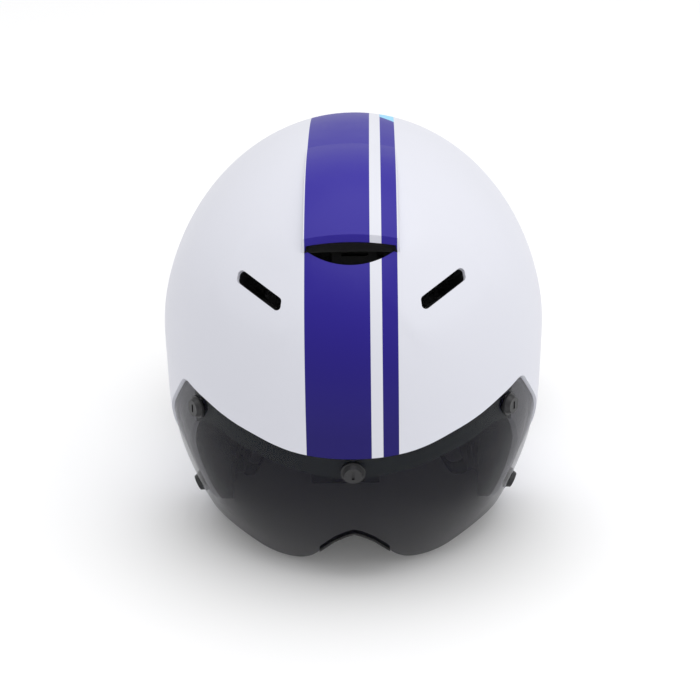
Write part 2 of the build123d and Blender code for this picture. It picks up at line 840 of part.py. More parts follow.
# Racks and wings: each rack runs over or under the pinion and carries the arm on its own side
block_x = housing_half_width + wing_travel + wing_block_gap
arm_y = rack_y + rack_width / 2
arm_start_x = block_x + rack_width
rack_teeth = int((block_x - 2 * rack_gap) / tooth_pitch) + int(rack_reach / tooth_pitch) - 1


def arm_line():
    """The middle line of the left arm, from its root to its tip."""
    return Spline((arm_start_x, arm_y), (wing_reach, wing_end_y), tangents=((1, 0), (0, -1)))


with BuildPart() as wing_left:
    with BuildSketch(Plane.XY.offset(dial_z)):
        with BuildLine():
            arm = arm_line()
            Line((block_x, arm_y), arm @ 0)
        trace(line_width=wing_thickness)
    extrude(amount=rack_half_height, both=True)
    with BuildSketch(Plane.XZ.offset(-rack_y)):
        with BuildLine():
            Polyline(
                (-rack_reach, dial_z - rack_half_height),
                (arm_start_x, dial_z - rack_half_height),
                (arm_start_x, dial_z - pitch_radius - rack_root),
                (-rack_reach, dial_z - pitch_radius - rack_root),
                close=True,
            )
        make_face()
        slope = tan(radians(pressure_angle))
        half_tooth = (tooth_pitch / 2 - tooth_backlash) / 2
        with Locations((tooth_pitch * (rack_teeth - 5) / 2, dial_z - pitch_radius)):
            with GridLocations(tooth_pitch, 0, rack_teeth, 1):
                Polygon(
                    (-half_tooth - rack_root * slope, -rack_root),
                    (half_tooth + rack_root * slope, -rack_root),
                    (half_tooth - tooth_addendum * slope, tooth_addendum),
                    (-half_tooth + tooth_addendum * slope, tooth_addendum),
                    align=None,
                )
    extrude(amount=-rack_width)
wing_right = Pos(0, 0, 2 * dial_z) * wing_left.part.mirror(Plane.YZ).mirror(Plane.XY)
store(wing_left.part, "wing_left")
store(wing_right, "wing_right")

with BuildPart() as wing_pad:
    with BuildSketch(Plane.XY.offset(dial_z)) as pad_layers:
        with BuildLine() as pad_line:
            arm_line()
        trace(line_width=wing_thickness + 2 * (soft_gap + wing_pad_thickness))
        trace(pad_line.line, line_width=wing_thickness + 2 * soft_gap, mode=Mode.SUBTRACT)
    extrude(pad_layers.sketch.faces().sort_by(Axis.X)[0], amount=wing_pad_height / 2, both=True)
for piece, hand in zip(both_sides(wing_pad.part), ("left", "right")):
    store(piece, f"wing_pad_{hand}")

# Dial: a core on the axle, a ribbed rubber grip round it, a friction washer and a screw
dial_y = plate_back_y + dial_gap
with BuildPart() as dial_knob:
    with BuildSketch(Plane.XZ.offset(-dial_y)):
        with Locations((0, dial_z)):
            Circle(dial_core_radius)
            Circle(axle_radius + axle_gap, mode=Mode.SUBTRACT)
    extrude(amount=-dial_height)
    with BuildSketch(Plane.XZ.offset(-dial_y - dial_height)):
        with Locations((0, dial_z)):
            Circle(screw_head_radius + axle_gap)
    extrude(amount=screw_head_height + axle_gap, mode=Mode.SUBTRACT)
store(dial_knob.part, "dial_knob")

with BuildPart() as dial_grip:
    with BuildSketch(Plane.XZ.offset(-dial_y)):
        with Locations((0, dial_z)):
            Circle(dial_radius - dial_rib_radius)
            with PolarLocations(dial_radius - dial_rib_radius, dial_ribs):
                Circle(dial_rib_radius)
            Circle(dial_core_radius + axle_gap, mode=Mode.SUBTRACT)
    extrude(amount=-dial_height)
store(dial_grip.part, "dial_grip")

with BuildPart() as dial_washer:
    with BuildSketch(Plane.XZ.offset(-plate_back_y - axle_gap)):
        with Locations((0, dial_z)):
            Circle(washer_radius)
            Circle(axle_radius + axle_gap, mode=Mode.SUBTRACT)
    extrude(amount=-(dial_gap - 2 * axle_gap))
store(dial_washer.part, "dial_washer")

with BuildPart() as dial_screw:
    with BuildSketch(Plane.XZ.offset(-dial_y - dial_height)):
        with Locations((0, dial_z)):
            Circle(screw_head_radius)
            RegularPolygon(screw_key_radius, 6, mode=Mode.SUBTRACT)
    extrude(amount=screw_head_height)
    with BuildSketch(Plane.XZ.offset(-axle_back_y - axle_gap)):
        with Locations((0, dial_z)):
            Circle(axle_radius)
    extrude(amount=-(dial_y + dial_height - screw_head_height - axle_back_y - axle_gap))
store(dial_screw.part, "dial_screw")

# Straps and dividers
strap_ends = []
for place, hand in zip(anchor_places, (-1, 1)):
    entry = Vector(hand * divider_length / 4, divider_height / 4)
    strap_ends.append((place + (place - entry).normalized() * anchor_tail, entry))


def web_form(start, end, gap):
    """A flat stretch of webbing in the left side's plane, grown by a gap."""
    with BuildPart() as web:
        with BuildSketch(web_plane):
            with BuildLine():
                Line((start.X, start.Y), (end.X, end.Y))
            trace(line_width=web_width + 2 * gap)
        extrude(amount=half_web + gap, both=True)
    return web.part


for (start, end), place, name in zip(strap_ends, anchor_places, ("front_strap", "rear_strap")):
    with BuildPart() as strap:
        add(web_form(start, end, 0))
        with BuildSketch(web_plane):
            with Locations((place.X, place.Y)):
                Circle(anchor_stem + web_gap)
        extrude(amount=web_thickness, both=True, mode=Mode.SUBTRACT)
    for piece, hand in zip(both_sides(strap.part), ("left", "right")):
        store(piece, f"{name}_{hand}")

for piece, hand in zip(both_sides(anchor_form(0)), ("left", "right")):
    store(piece, f"strap_anchors_{hand}")

with BuildPart() as divider:
    with BuildSketch(web_plane):
        RectangleRounded(divider_length, divider_height, divider_corner)
    extrude(amount=divider_thickness / 2, both=True)
    for start, end in strap_ends:
        add(web_form(start, end - (start - end).normalized() * web_gap, web_gap), mode=Mode.SUBTRACT)
    chin_top = Vector(0, divider_entry - divider_height / 2)
    add(web_form(Vector(0, -divider_height), chin_top, web_gap), mode=Mode.SUBTRACT)
for piece, hand in zip(both_sides(divider.part), ("left", "right")):
    store(piece, f"strap_divider_{hand}")


def web_point(inward, z):
    """A point of the chin strap's side view, from its way inwards and its height over the ground."""
    return (inward, (z - divider_middle.Z + inward * outward.Z) / web_plane.y_dir.Z)


def chin_strap(inner_end):
    """Half of the chin strap: out of the divider, over a loose hump and into the buckle."""
    ground = web_floor_gap + half_web
    top_z = divider_middle.Z + (chin_top.Y - web_gap) * web_plane.y_dir.Z
    run = inner_end - plug_slot - strap_bend
    points = [
        web_point(0, top_z),
        web_point(0, ground),
        web_point(strap_turn_share * run, ground),
        web_point(strap_hump_share * run, strap_hump),
        web_point(run, buckle_z),
        web_point(inner_end, buckle_z),
    ]
    with BuildPart() as strap:
        with BuildSketch(strap_plane):
            with BuildLine():
                FilletPolyline(points, radius=[strap_bend / 2, strap_bend, strap_bend, strap_bend])
            trace(line_width=web_thickness)
        extrude(amount=web_width / 2, both=True)
    return strap.part


inward_reach = divider_middle.X / outward.X
end_slack = buckle_gap + web_gap + web_width / 2 * abs(outward.Y / outward.X)
plug_end = inward_reach - (plug_length - plug_slot + end_slack) / outward.X
socket_end = inward_reach - (socket_length - plug_slot + end_slack) / outward.X
store(chin_strap(plug_end), "chin_strap_left")
store(chin_strap(socket_end).mirror(Plane.YZ), "chin_strap_right")

# Buckle: a socket and the plug that slides out of it
buckle_y = divider_y - (plug_end + socket_end) / 2 * outward.Y
hollow_width = buckle_width - 2 * buckle_wall
hollow_thickness = buckle_thickness - 2 * buckle_wall
with BuildPart() as buckle_socket:
    with BuildSketch(Plane.YZ):
        with Locations((buckle_y, buckle_z)):
            RectangleRounded(buckle_width, buckle_thickness, buckle_corner)
    extrude(amount=-socket_length)
    with BuildSketch(Plane.YZ):
        with Locations((buckle_y, buckle_z)):
            Rectangle(hollow_width, hollow_thickness)
    extrude(amount=-(socket_length - plug_slot - buckle_wall), mode=Mode.SUBTRACT)
    with BuildSketch(Plane.YZ.offset(-socket_length)):
        with Locations((buckle_y, buckle_z)):
            Rectangle(hollow_width, web_thickness + 4 * web_gap)
    extrude(amount=plug_slot, mode=Mode.SUBTRACT)
    with BuildSketch(Plane.XZ.offset(-buckle_y)):
        with Locations((-window_length, buckle_z)):
            Rectangle(window_length, hollow_thickness - 2 * buckle_gap)
    extrude(amount=buckle_width, both=True, mode=Mode.SUBTRACT)
store(buckle_socket.part, "buckle_socket")

with BuildPart() as buckle_plug:
    with BuildSketch(Plane.YZ.offset(buckle_gap)):
        with Locations((buckle_y, buckle_z)):
            RectangleRounded(buckle_width, buckle_thickness, buckle_corner)
    extrude(amount=plug_length)
    with BuildSketch(Plane.YZ.offset(buckle_gap + plug_length)):
        with Locations((buckle_y, buckle_z)):
            Rectangle(hollow_width, web_thickness + 4 * web_gap)
    extrude(amount=-plug_slot, mode=Mode.SUBTRACT)
    prong_place = hollow_width / 2 - buckle_gap - prong_width / 2
    with BuildSketch(Plane.YZ.offset(buckle_gap)):
        for offset_y in (-prong_place, 0, prong_place):
            with Locations((buckle_y + offset_y, buckle_z)):
                Rectangle(prong_width, prong_thickness)
    extrude(amount=-(prong_length - buckle_gap))
store(buckle_plug.part, "buckle_plug")
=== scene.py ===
"""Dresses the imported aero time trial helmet: paint, lens, foam, simulated pads, webbing and studio.

It is laid out as a Blender add-on and run as a script. Metres, +Z up, the wearer looks along -Y, and
the helmet stands on its ear covers at Z = 0. The solids of the front are refitted to the real helmet's
forms on the way.
"""
import json
from math import cos, pi, radians, sin

import bmesh
import bpy
import numpy as np
from mathutils import Matrix, Vector


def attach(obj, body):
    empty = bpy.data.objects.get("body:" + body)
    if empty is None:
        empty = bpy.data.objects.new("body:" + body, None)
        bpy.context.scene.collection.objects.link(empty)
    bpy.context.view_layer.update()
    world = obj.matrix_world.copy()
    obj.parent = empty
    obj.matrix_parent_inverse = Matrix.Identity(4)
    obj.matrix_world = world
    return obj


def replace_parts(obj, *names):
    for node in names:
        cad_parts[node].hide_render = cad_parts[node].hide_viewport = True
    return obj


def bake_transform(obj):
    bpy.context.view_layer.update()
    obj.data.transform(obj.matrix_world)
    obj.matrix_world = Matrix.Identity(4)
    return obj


bl_info = {
    "name": "Aero helmet dressing",
    "version": (1, 0, 0),
    "blender": (4, 5, 0),
    "location": "3D View > Sidebar > Helmet",
    "description": "Gives the packed helmet its paint, lens, pads, webbing and studio",
    "category": "Object",
}

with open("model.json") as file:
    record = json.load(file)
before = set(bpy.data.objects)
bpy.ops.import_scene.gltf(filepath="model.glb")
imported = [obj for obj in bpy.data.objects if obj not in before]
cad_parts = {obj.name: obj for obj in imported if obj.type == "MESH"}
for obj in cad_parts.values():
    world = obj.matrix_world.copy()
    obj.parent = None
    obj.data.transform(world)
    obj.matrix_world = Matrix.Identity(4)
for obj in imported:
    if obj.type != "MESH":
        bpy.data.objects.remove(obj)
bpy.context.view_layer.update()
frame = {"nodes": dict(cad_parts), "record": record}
nodes = frame["nodes"]
bodies = frame["record"]["behaviour"]["bodies"]
BODY_OF = {node: body for body, group in bodies.items() for node in group}

# Where the webbing runs on the left side, from the solids' own layout
FRONT_ANCHOR = Vector((0.06816, -0.056, 0.06))
REAR_ANCHOR = Vector((0.05403, 0.04, 0.06))
DIVIDER = Vector((0.06388, -0.006, 0.014))
ALONG = (REAR_ANCHOR - FRONT_ANCHOR).normalized()
OUTWARD = ALONG.cross(FRONT_ANCHOR - DIVIDER).normalized()
UPWARD = OUTWARD.cross(ALONG)
MIRROR_X = Matrix.Diagonal((-1, 1, 1, 1))
# How far a side strap starts inside its anchor, and where it enters the divider, beside and above its middle
ANCHOR_DEPTH = 0.005
ENTRY_BESIDE, ENTRY_ABOVE = 0.0065, 0.00475
# The chin strap's corners as shares of its reach before the buckle and heights, its straight run in the
# buckle, and where it ends on each side
CHIN_CORNERS = ((0, 0.0094), (0, 0.0011), (0.24, 0.0011), (0.62, 0.036), (1, 0.0052))
BUCKLE_RUN = 0.013
CHIN_ENDS = {"left": 0.0068, "right": 0.0189}
# How far behind a strap's end its seam starts
SIDE_SEAM_START, CHIN_SEAM_START = 0.011, 0.009

# The shell's egg, of which the front is refitted
EGG_MIDDLE = np.array((0, -0.026, 0.107))
HALF_WIDTH, FRONT_DEPTH, CROWN_HEIGHT, LOWER_HEIGHT = 0.103, 0.118, 0.094, 0.168

# How the dressed front differs from the solids. The brow drops, the cheeks get wider by a share, and the
# lower half gets as full as an egg that reaches lower, which counts down to DEEPEST below the middle.
# A pair says where a move is nothing and where it is whole: in shares of the egg for the skin, in Y for the
# front and in Z for the others.
SKIN = (0.84, 0.97)
FRONT = (-0.02, -0.07)
BROW_DROP = 0.0045
BROW_FROM_BELOW, BROW_FROM_ABOVE = (0.0, 0.06), (0.15, 0.105)
CHEEK_SHARE = 0.022
CHEEK_FROM_BELOW, CHEEK_FROM_ABOVE = (0.028, 0.06), (0.097, 0.068)
FULLER_LOWER_HEIGHT = 0.188
FULLER_FROM_BELOW = (-0.01, 0.045)
DEEPEST = 0.12

# The left slit: its middle, the way it runs, how it is stretched and shifted, and how far from its middle
# and from its line that fades out
SLIT_MIDDLE = np.array((0.0457, -0.1074, 0.159))
SLIT_WAY = np.array((0.667, 0.71, 0.227))
SLIT_STRETCH = 0.226
SLIT_SHIFT = np.array((0.0008, 0, -0.0017))
SLIT_ALONG, SLIT_ACROSS = (0.034, 0.017), (0.026, 0.008)

# The lens's nose notch, as heights at distances from the middle, and the strip on its edge: how thin it
# gets, half its width, and from what angle on its edges stay sharp
NOTCH_SIDE = (0, 0.0037, 0.0103, 0.017, 0.0221)
NOTCH_HEIGHT = (0.0327, 0.0312, 0.026, 0.0171, 0.0098)
STRIP_THINNING = 0.45
STRIP_HALF = 0.0185
SHARP_EDGE = radians(35)

REFITTED = (
    "outer_shell", "foam_liner", "rim_wrap", "brow_band", "shell_magnets", "visor_magnets", "visor_lens",
    "visor_knobs", "nose_strip", "vent_duct_left", "vent_duct_right",
)
PADS = (
    "brow_pad", "crown_pad", "temple_pad_left", "temple_pad_right", "upper_pad_left", "upper_pad_right",
    "rear_pad_left", "rear_pad_right", "nape_pad", "wing_pad_left", "wing_pad_right",
)

# The most times its inset that a sharp corner of a pad goes in
MOST_INSETS = 1.6

# The studio: half the floor's width, its gap under the feet, and each light's place, width and power
FLOOR_REACH, FLOOR_GAP = 20.0, 0.0002
LIGHTS = {
    "top_light": ((0.1, 0.1, 1.9), 1.8, 17),
    "right_light": ((1.3, -0.8, 0.9), 1.2, 4),
}


def linear(red, green, blue):
    """A scene-linear colour from three 8-bit display values."""
    values = [v / 255 for v in (red, green, blue)]
    return tuple(v / 12.92 if v <= 0.04045 else ((v + 0.055) / 1.055) ** 2.4 for v in values)


def add_node(tree, kind, sockets, settings):
    """Add a node with its settings, and with its sockets given as values or as other nodes' outputs."""
    node = tree.nodes.new(kind)
    for setting, value in settings.items():
        setattr(node, setting, value)
    for socket, value in (sockets or {}).items():
        if isinstance(value, bpy.types.NodeSocket):
            tree.links.new(value, node.inputs[socket])
        else:
            node.inputs[socket].default_value = value
    return node


class Finish:
    """A procedural material under construction, on one Principled shader."""

    def __init__(self, name, **values):
        self.material = bpy.data.materials.new(name)
        self.material.use_nodes = True
        self.tree = self.material.node_tree
        self.shader = self.tree.nodes["Principled BSDF"]
        for socket, value in values.items():
            self.shader.inputs[socket.replace("_", " ")].default_value = value

    def node(self, kind, sockets=None, **settings):
        """Add a shader node."""
        return add_node(self.tree, "ShaderNode" + kind, sockets, settings)

    def math(self, operation, first, second=0.0):
        """One sum on values or outputs."""
        return self.node("Math", {0: first, 1: second}, operation=operation).outputs[0]

    def mix(self, share, first, second):
        """A colour between two, by a share."""
        sockets = {"Factor": share, "A": first, "B": second}
        node = self.tree.nodes.new("ShaderNodeMix")
        node.data_type = "RGBA"
        for name, value in sockets.items():
            socket = next(s for s in node.inputs if s.name == name and s.enabled)
            if isinstance(value, bpy.types.NodeSocket):
                self.tree.links.new(value, socket)
            else:
                socket.default_value = value if name == "Factor" else (*value, 1)
        return next(s for s in node.outputs if s.enabled)

    def ramp(self, value, low, high):
        """A value from 0 to 1 between two limits."""
        return self.node("MapRange", {"Value": value, "From Min": low, "From Max": high}).outputs[0]

    def noise(self, scale, detail=3.0):
        """Fractal noise on the piece's own coordinates."""
        sockets = {"Vector": self.place(), "Scale": scale, "Detail": detail}
        return self.node("TexNoise", sockets).outputs[0]

    def place(self):
        """The piece's own coordinates."""
        return self.node("TexCoord").outputs["Object"]

    def parts(self, vector):
        """The three parts of a vector."""
        return self.node("SeparateXYZ", {0: vector}).outputs[:]

    def colour(self, value):
        """Feed the base colour."""
        self.tree.links.new(value, self.shader.inputs["Base Color"])

    def roughness(self, value, low, high):
        """Vary the roughness between two limits with a value from 0 to 1."""
        spread = self.node("MapRange", {"Value": value, "To Min": low, "To Max": high}).outputs[0]
        self.tree.links.new(spread, self.shader.inputs["Roughness"])

    def bump(self, height, strength, distance):
        """Raise the surface by a height in shares of a distance."""
        sockets = {"Height": height, "Strength": strength, "Distance": distance}
        node = self.node("Bump", sockets)
        self.tree.links.new(node.outputs[0], self.shader.inputs["Normal"])


def shell_paint(settings):
    """White satin paint with the purple-blue stripe, its white line and the pale blue part behind; the
    stripe's darkening towards the lens is painted shade.
    """
    finish = Finish("shell_paint", Specular_IOR_Level=0.2, Coat_Weight=0.05, Coat_Roughness=0.25)
    across, back, height = finish.parts(finish.place())
    edge = settings.edge_softness

    def band(low, high):
        rise = finish.ramp(across, low - edge, low + edge)
        fall = finish.ramp(across, high + edge, high - edge)
        return finish.math("MULTIPLY", rise, fall)

    white = finish.mix(finish.noise(9.0), settings.white[:], settings.white_shade[:])
    # Painted shade: the stripe takes its darker colour low down near the lens and lightens with height, as if
    # lit from above
    shade_fade = finish.ramp(height, settings.fade_low, settings.fade_high)
    purple = finish.mix(shade_fade, settings.stripe_painted_shade[:], settings.stripe[:])
    cloud = finish.math("MULTIPLY", finish.noise(14.0), 0.25)
    purple = finish.mix(cloud, purple, settings.stripe_painted_shade[:])
    border = finish.math("ADD", back, finish.math("MULTIPLY", across, settings.patch_slant))
    behind = finish.ramp(border, settings.patch_start, settings.patch_start + edge)
    narrow = finish.ramp(across, settings.line_high - edge, settings.line_high + edge)
    stripe = finish.mix(finish.math("MULTIPLY", behind, narrow), purple, settings.patch[:])
    painted = finish.mix(band(-settings.stripe_half, settings.stripe_half), white, stripe)
    painted = finish.mix(band(settings.line_low, settings.line_high), painted, white)
    finish.colour(painted)
    finish.roughness(finish.noise(40.0), 0.38, 0.46)
    finish.bump(finish.noise(900.0, 2.0), 0.05, 0.0001)
    return finish.material


def smoke_lens(settings):
    """Dark tinted plastic that lets some light through, with faint flow marks."""
    finish = Finish("smoke_lens", Alpha=settings.opacity, IOR=1.5, Specular_IOR_Level=0.2)
    flow = finish.noise(6.0, 1.0)
    finish.colour(finish.mix(flow, settings.tint[:], settings.tint_low[:]))
    finish.roughness(finish.noise(60.0, 1.0), 0.1, 0.13)
    finish.bump(finish.noise(22.0, 1.0), 0.02, 0.0005)
    return finish.material


def moulded_plastic(name, colour, roughness, grain):
    """Black moulded plastic with a fine spark grain and faint wear in its sheen."""
    finish = Finish(name)
    worn = tuple(min(1, v * 1.9 + 0.004) for v in colour)
    wear = finish.math("MULTIPLY", finish.noise(55.0), 0.7)
    finish.colour(finish.mix(wear, colour, worn))
    finish.roughness(finish.noise(420.0, 4.0), *roughness)
    sockets = {"Vector": finish.place(), "Scale": grain}
    cell = finish.node("TexVoronoi", sockets, feature="SMOOTH_F1").outputs["Distance"]
    rough = finish.math("ADD", cell, finish.noise(grain * 1.7, 2.0))
    finish.bump(rough, 0.22, 0.00012)
    return finish.material


def bead_foam():
    """Moulded foam: pressed beads with fine dark seams between them."""
    finish = Finish("bead_foam")
    place = finish.place()
    warp = finish.node("TexNoise", {"Vector": place, "Scale": 60.0}).outputs[1]
    shift = finish.node("VectorMath", {0: warp, 1: (0.0016, 0.0016, 0.0016)}, operation="MULTIPLY")
    bent = finish.node("VectorMath", {0: place, 1: shift.outputs[0]}, operation="ADD").outputs[0]
    sockets = {"Vector": bent, "Scale": 270.0}
    seam = finish.node("TexVoronoi", sockets, feature="DISTANCE_TO_EDGE").outputs["Distance"]
    bead = finish.node("TexVoronoi", sockets).outputs["Color"]
    tone = finish.node("SeparateColor", {0: bead}).outputs[0]
    skin = finish.mix(tone, linear(34, 34, 37), linear(48, 48, 52))
    line = finish.ramp(seam, 0.0, 0.09)
    finish.colour(finish.mix(line, linear(16, 16, 18), skin))
    finish.roughness(tone, 0.62, 0.8)
    finish.bump(line, 0.5, 0.0004)
    return finish.material


def knitted_cover():
    """The pads' black knitted cover: fine loops in rows with a soft sheen."""
    finish = Finish("knitted_cover", Sheen_Weight=0.35, Sheen_Roughness=0.4)
    place = finish.place()
    sockets = {"Vector": place, "Scale": 1100.0, "Randomness": 0.35}
    loops = finish.node("TexVoronoi", sockets).outputs["Distance"]
    rows = finish.node("TexWave", {"Vector": place, "Scale": 330.0, "Distortion": 1.2}).outputs[1]
    weave = finish.math("ADD", finish.math("MULTIPLY", loops, 0.8), finish.math("MULTIPLY", rows, 0.4))
    dark = finish.mix(weave, linear(13, 13, 15), linear(44, 44, 48))
    cloud = finish.math("MULTIPLY", finish.noise(90.0), 0.5)
    finish.colour(finish.mix(cloud, dark, linear(30, 30, 33)))
    finish.roughness(weave, 0.75, 0.95)
    finish.bump(weave, 0.6, 0.0004)
    return finish.material


def woven_webbing():
    """Black webbing: ribs across the strap and a twill along it, on the strip's own lengths."""
    finish = Finish("woven_webbing", Sheen_Weight=0.2, Sheen_Roughness=0.35)
    lengths = finish.node("Attribute", attribute_name="weave").outputs["Vector"]
    along, across = finish.parts(lengths)[:2]

    def waves(place, pitch):
        return finish.math("SINE", finish.math("MULTIPLY", place, 2 * pi / pitch))

    ribs = waves(along, 0.0011)
    cords = waves(across, 0.0014)
    slant = waves(finish.math("ADD", along, across), 0.0022)
    weave = finish.math("ADD", finish.math("MULTIPLY", ribs, cords), slant)
    height = finish.ramp(weave, -2.0, 2.0)
    finish.colour(finish.mix(height, linear(9, 9, 10), linear(36, 36, 38)))
    finish.roughness(height, 0.9, 0.66)
    finish.bump(height, 0.7, 0.00035)
    return finish.material


def stitch_thread():
    """Waxed black thread, a touch lighter than the webbing."""
    finish = Finish("stitch_thread")
    twist = finish.noise(2600.0)
    finish.colour(finish.mix(twist, linear(30, 30, 32), linear(58, 58, 62)))
    finish.roughness(twist, 0.45, 0.7)
    finish.bump(twist, 0.3, 0.0001)
    return finish.material


def soft_rubber():
    """Matt black rubber with dust in its grain."""
    finish = Finish("soft_rubber")
    grain = finish.noise(900.0, 4.0)
    dust = finish.math("MULTIPLY", finish.ramp(finish.noise(70.0), 0.45, 0.8), 0.5)
    finish.colour(finish.mix(dust, linear(14, 14, 15), linear(33, 33, 35)))
    finish.roughness(grain, 0.6, 0.82)
    finish.bump(grain, 0.25, 0.0002)
    return finish.material


def plated_metal(name, colour, roughness, scale):
    """Plated metal with fine turning marks and small spots."""
    finish = Finish(name, Metallic=1.0)
    sockets = {"Vector": finish.place(), "Scale": scale, "Distortion": 6.0}
    marks = finish.node("TexWave", sockets).outputs[1]
    spots = finish.math("MULTIPLY", finish.noise(500.0), 0.5)
    dull = tuple(v * 0.7 for v in colour)
    finish.colour(finish.mix(spots, colour, dull))
    finish.roughness(marks, *roughness)
    finish.bump(marks, 0.1, 0.00005)
    return finish.material


def studio_floor():
    """Plain pale studio floor."""
    finish = Finish("studio_floor", Roughness=0.9, Specular_IOR_Level=0.0)
    cloud = finish.noise(3.0)
    finish.colour(finish.mix(cloud, (0.93, 0.93, 0.935), (0.95, 0.95, 0.952)))
    return finish.material


def places(mesh):
    """The mesh's points as an array."""
    found = np.zeros(len(mesh.vertices) * 3)
    mesh.vertices.foreach_get("co", found)
    return found.reshape(-1, 3)


def evaluated(piece):
    """The plain mesh of a piece with its modifiers applied."""
    graph = bpy.context.evaluated_depsgraph_get()
    graph.update()
    return bpy.data.meshes.new_from_object(piece.evaluated_get(graph), depsgraph=graph)


def applied(piece):
    """The plain mesh of a piece with its modifiers applied. The piece itself goes."""
    mesh = evaluated(piece)
    bpy.data.objects.remove(piece)
    return mesh


def link(name, mesh, material, body):
    """Put a finished mesh into the scene with its material, riding on a body if one is given."""
    piece = bpy.data.objects.new(name, mesh)
    bpy.context.scene.collection.objects.link(piece)
    piece.data.materials.clear()
    piece.data.materials.append(material)
    if body:
        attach(piece, body)
    return piece


def soft_step(values, low, high):
    """A smooth rise from 0 to 1 between two limits, which may be given high first."""
    share = np.clip((values - low) / (high - low), 0, 1)
    return share * share * (3 - 2 * share)


def ellipse(below, depth):
    """The share of its width that an ellipse has at a distance below its middle."""
    return np.sqrt(1 - (below / depth) ** 2)


def moved(points):
    """Where points of the solids lie on the dressed helmet: a lower brow, fuller cheeks and longer slits."""
    offset = points - EGG_MIDDLE
    radii = np.full_like(points, HALF_WIDTH)
    radii[:, 1] = FRONT_DEPTH
    radii[:, 2] = np.where(offset[:, 2] > 0, CROWN_HEIGHT, LOWER_HEIGHT)
    skin = soft_step(np.linalg.norm(offset / radii, axis=1), *SKIN)
    front = soft_step(points[:, 1], *FRONT) * skin
    height = points[:, 2]
    drop = soft_step(height, *BROW_FROM_BELOW) * soft_step(height, *BROW_FROM_ABOVE)
    cheek = CHEEK_SHARE * soft_step(height, *CHEEK_FROM_BELOW) * soft_step(height, *CHEEK_FROM_ABOVE)
    below = np.clip(-offset[:, 2], 0, DEEPEST)
    fuller = ellipse(below, FULLER_LOWER_HEIGHT) / ellipse(below, LOWER_HEIGHT) - 1
    fuller *= soft_step(height, *FULLER_FROM_BELOW)
    result = points.copy()
    result[:, :2] += offset[:, :2] * (fuller * front)[:, None]
    result[:, 0] += offset[:, 0] * cheek * front
    result[:, 2] -= BROW_DROP * drop * front
    for hand in (1, -1):
        turn = np.array((hand, 1, 1))
        away = points - SLIT_MIDDLE * turn
        way = SLIT_WAY * turn
        along = away @ way
        across = np.linalg.norm(away - along[:, None] * way, axis=1)
        near = soft_step(np.abs(along), *SLIT_ALONG) * soft_step(across, *SLIT_ACROSS)
        stretch = way * (along * SLIT_STRETCH)[:, None] + SLIT_SHIFT * turn
        result += stretch * near[:, None]
    return result


def thinned(points):
    """The nose strip's points, drawn in towards the notch's edge."""
    edge = np.interp(np.abs(points[:, 0]), NOTCH_SIDE, NOTCH_HEIGHT)
    result = points.copy()
    result[:, 2] = edge + (points[:, 2] - edge) * STRIP_THINNING
    return result


def refitted(name):
    """A merged copy of a solid's mesh on the dressed helmet's places, with its normals turned along."""
    solid = nodes[name].data
    corners = np.zeros(len(solid.loops), dtype=int)
    solid.loops.foreach_get("vertex_index", corners)
    normals = np.zeros(len(solid.loops) * 3)
    solid.corner_normals.foreach_get("vector", normals)

    # Triangles on merged points, without those that the merge folds up
    merged, numbers = np.unique(places(solid).round(7), axis=0, return_inverse=True)
    faces = numbers.ravel()[corners].reshape(-1, 3)
    sound = (faces != np.roll(faces, 1, axis=1)).all(axis=1)
    faces = faces[sound]
    normals = normals.reshape(-1, 3, 3)[sound]

    # A normal turns by the inverse transpose of the move's slopes at its point
    reach = 0.0001
    slopes = [(moved(merged + step) - moved(merged - step)) / (2 * reach) for step in np.eye(3) * reach]
    turns = np.linalg.inv(np.stack(slopes, 2)).transpose(0, 2, 1)
    turned = np.einsum("fcij,fcj->fci", turns[faces], normals).reshape(-1, 3)
    turned /= np.maximum(np.linalg.norm(turned, axis=1, keepdims=True), 1e-12)

    mesh = bpy.data.meshes.new(name)
    shape = thinned(merged) if name == "nose_strip" else merged
    mesh.from_pydata(moved(shape).tolist(), [], faces.tolist())
    mesh.shade_smooth()
    mesh.normals_split_custom_set(turned.tolist())
    return mesh


def shorten(mesh, half):
    """Cut a strip's two ends off square."""
    shape = bmesh.new()
    shape.from_mesh(mesh)
    for hand in (1, -1):
        everything = shape.verts[:] + shape.edges[:] + shape.faces[:]
        plane = {"plane_co": (hand * half, 0, 0), "plane_no": (hand, 0, 0)}
        cut = bmesh.ops.bisect_plane(shape, geom=everything, clear_outer=True, **plane)
        rim = [part for part in cut["geom_cut"] if isinstance(part, bmesh.types.BMEdge)]
        bmesh.ops.holes_fill(shape, edges=rim)
    bmesh.ops.recalc_face_normals(shape, faces=shape.faces)
    shape.to_mesh(mesh)
    shape.free()
    mesh.set_sharp_from_angle(angle=SHARP_EDGE)


def dress(names, material):
    """Give solids one finish, and put refitted copies in the place of those at the front."""
    for name in names:
        if name not in REFITTED:
            for slot in nodes[name].material_slots:
                slot.material = material
            continue
        mesh = refitted(name)
        if name == "nose_strip":
            shorten(mesh, STRIP_HALF)
        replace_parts(link(name + "_dressed", mesh, material, BODY_OF[name]), name)


